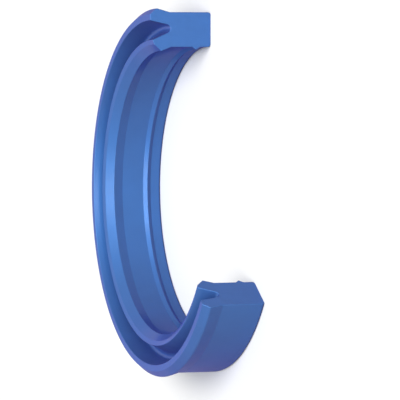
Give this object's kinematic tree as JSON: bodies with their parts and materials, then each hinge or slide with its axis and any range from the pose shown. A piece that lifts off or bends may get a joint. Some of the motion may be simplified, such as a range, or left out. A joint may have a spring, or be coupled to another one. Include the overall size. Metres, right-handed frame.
{
  "type": "hydraulic rod seal",
  "caption": "Blue hydraulic rod seal: a ring with a grooved lip section that seals a sliding rod against its gland, shown as a cutaway with a sector removed.",
  "frame": {"origin": "on the ring's axis, in the plane of the heel face that it lies on", "axes": "+Z along the ring's axis, from the heel to the pressure side where the lips open; +X from the axis through the first cut face, with the ring running anticlockwise from it"},
  "size_m": [0.0798, 0.0726, 0.014],
  "materials": {
    "polyurethane": "smooth satin, moulded, with knife-cut ends"
  },
  "bodies": {
    "root": {"seal_ring": "polyurethane"}
  },
  "joints": []
}
